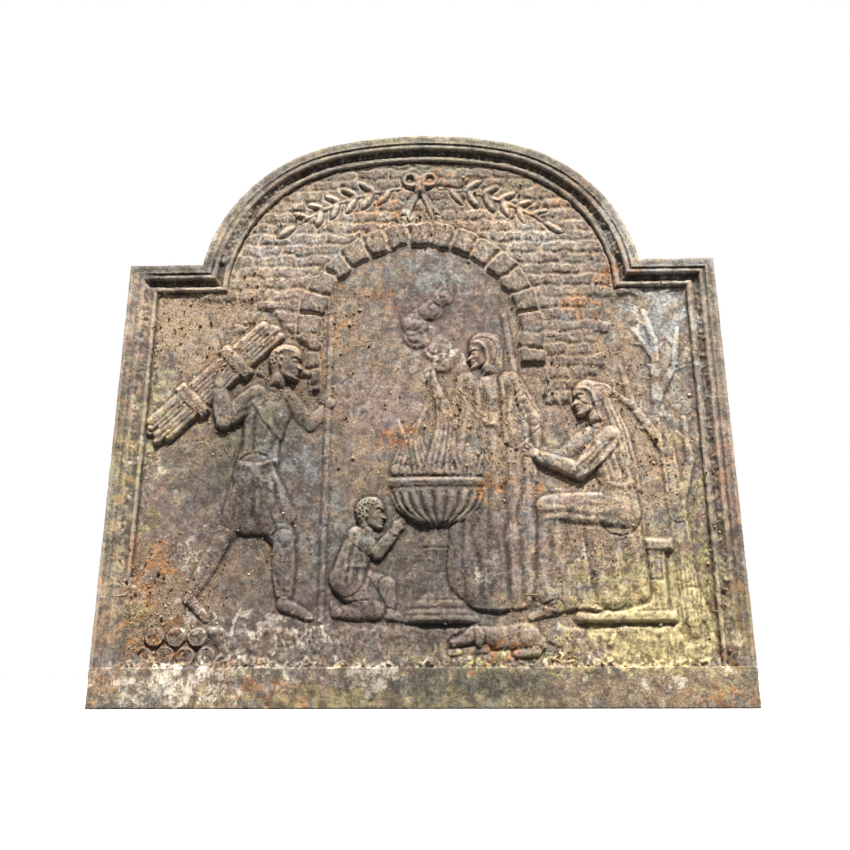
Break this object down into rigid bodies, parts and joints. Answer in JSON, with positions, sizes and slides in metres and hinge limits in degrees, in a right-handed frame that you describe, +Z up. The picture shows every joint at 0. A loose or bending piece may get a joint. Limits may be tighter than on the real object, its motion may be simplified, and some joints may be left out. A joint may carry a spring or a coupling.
{
  "type": "fireback",
  "caption": "Cast-iron fireback: an arched plate with square shoulders, a moulded edge, a foot band and a pictorial relief, which stands behind a fire and throws its heat forward.",
  "frame": {"origin": "middle of the foot's underside: centred across the width and the depth, at floor height", "axes": "+X runs to the right across the face, +Y into the wall behind the plate, +Z up; the face looks towards -Y"},
  "size_m": [0.9, 0.04, 0.881],
  "materials": {
    "iron_plate": "sand-cast iron, rusted brown, with earth in the hollows and green moss low down",
    "iron_moulding": "sand-cast iron, grey-brown, with a thin pale patina on the raised edges",
    "iron_foot_band": "sand-cast iron, yellow-brown, with pale lichen and green moss",
    "iron_masonry": "sand-cast iron, grey-green to rust brown, with earth in the joints",
    "iron_relief": "worn sand-cast iron, dark rust brown, with tan earth round the forms"
  },
  "bodies": {
    "root": {"back_plate": "iron_plate", "left_stile_moulding": "iron_moulding", "right_stile_moulding": "iron_moulding", "left_shoulder_moulding": "iron_moulding", "right_shoulder_moulding": "iron_moulding", "left_haunch_moulding": "iron_moulding", "right_haunch_moulding": "iron_moulding", "crown_moulding": "iron_moulding", "foot_band": "iron_foot_band", "stone_wall": "iron_masonry", "niche_ring": "iron_masonry", "ribbon_bow": "iron_relief", "left_leaf_spray": "iron_relief", "right_leaf_spray": "iron_relief", "ground_bank": "iron_plate", "log_pile": "iron_relief", "wood_carrier": "iron_relief", "wood_bundle": "iron_relief", "kneeling_child": "iron_relief", "brazier": "iron_relief", "flames": "iron_relief", "smoke_puffs": "iron_relief", "hooded_elder": "iron_relief", "seated_woman": "iron_relief", "stone_seat": "iron_relief", "sleeping_dog": "iron_relief", "bare_tree": "iron_relief"}
  },
  "joints": []
}
